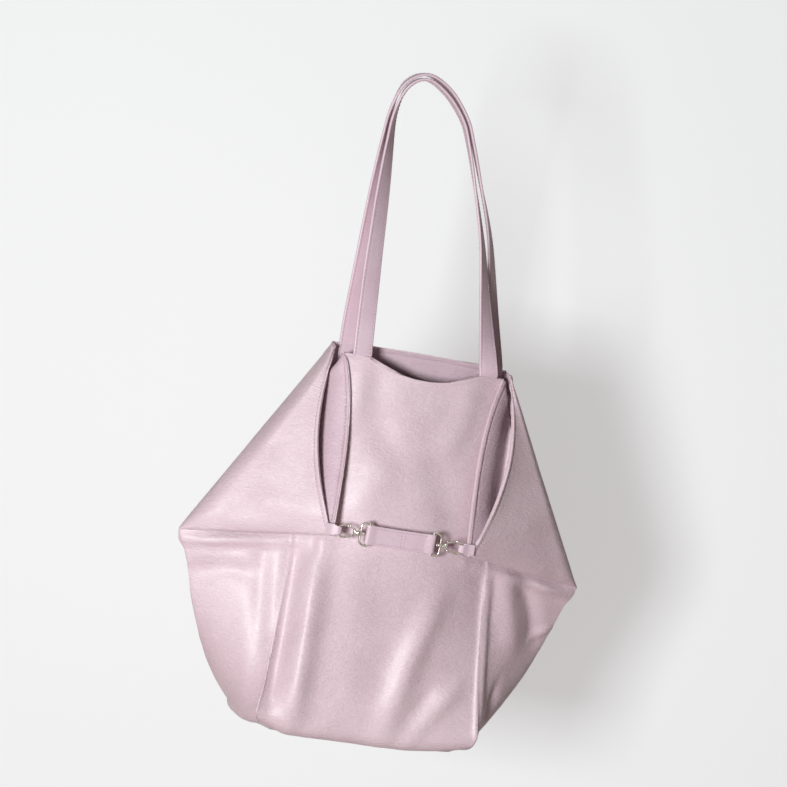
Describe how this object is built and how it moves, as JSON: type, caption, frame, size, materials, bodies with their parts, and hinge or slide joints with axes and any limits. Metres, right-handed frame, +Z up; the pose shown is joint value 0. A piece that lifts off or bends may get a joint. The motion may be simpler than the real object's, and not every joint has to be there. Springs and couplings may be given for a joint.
{
  "type": "trapeze bag",
  "caption": "Soft leather trapeze bag with two carrying straps, folded side wings clipped together in front by a short strap with swivel snap hooks.",
  "frame": {"origin": "on the ground, under the middle of the base", "axes": "+Z up; the front, with the clasps, faces -Y; +X to the right when the front is looked at"},
  "size_m": [0.4368, 0.1478, 0.6895],
  "materials": {
    "leather": "soft pearly mauve-pink leather with a fine crease grain",
    "facing": "thin smooth leather facing, a little darker",
    "nickel": "polished warm nickel",
    "board": "matt bag board"
  },
  "bodies": {
    "shell": {"front_panel": "leather", "back_panel": "leather", "left_gusset": "leather", "right_gusset": "leather", "base_panel": "leather", "base_board": "board", "front_facing": "facing", "back_facing": "facing", "left_facing": "facing", "right_facing": "facing", "left_loop_tab": "leather", "right_loop_tab": "leather"},
    "front_handle": {"front_handle": "leather"},
    "rear_handle": {"rear_handle": "leather"},
    "connector": {"connector_strap": "leather", "left_strap_eye": "nickel", "right_strap_eye": "nickel"},
    "left_hook": {"left_hook_body": "nickel", "left_gate_pin": "nickel", "left_gate_spring": "nickel"},
    "left_gate": {"left_gate": "nickel"},
    "right_hook": {"right_hook_body": "nickel", "right_gate_pin": "nickel", "right_gate_spring": "nickel"},
    "right_gate": {"right_gate": "nickel"}
  },
  "joints": [
    {"name": "front_handle_bend", "type": "hinge", "parent": "shell", "child": "front_handle", "pos_m": [0, -0.0276, 0.3966], "axis": [1, 0, 0], "range_deg": [0, 150]},
    {"name": "rear_handle_bend", "type": "hinge", "parent": "shell", "child": "rear_handle", "pos_m": [0, 0.0072, 0.4041], "axis": [-1, 0, 0], "range_deg": [0, 150]},
    {"name": "connector_unclip", "type": "slide", "parent": "shell", "child": "connector", "axis": [0, -1, 0], "range_m": [0, 0.15], "deforming": ["left_loop_tab", "right_loop_tab"]},
    {"name": "left_hook_swivel", "type": "hinge", "parent": "connector", "child": "left_hook", "pos_m": [-0.0463, -0.067, 0.2195], "axis": [-1, 0, 0], "continuous": true, "deforming": ["left_loop_tab"]},
    {"name": "left_gate_hinge", "type": "hinge", "parent": "left_hook", "child": "left_gate", "pos_m": [-0.0509, -0.067, 0.2226], "axis": [0, -1, 0], "range_deg": [0, 22], "stiffness_Nm_per_rad": 0.001, "springref_deg": -28.65},
    {"name": "right_hook_swivel", "type": "hinge", "parent": "connector", "child": "right_hook", "pos_m": [0.0423, -0.067, 0.2195], "axis": [1, 0, 0], "continuous": true, "deforming": ["right_loop_tab"]},
    {"name": "right_gate_hinge", "type": "hinge", "parent": "right_hook", "child": "right_gate", "pos_m": [0.0469, -0.067, 0.2226], "axis": [0, 1, 0], "range_deg": [0, 22], "stiffness_Nm_per_rad": 0.001, "springref_deg": -28.65}
  ]
}
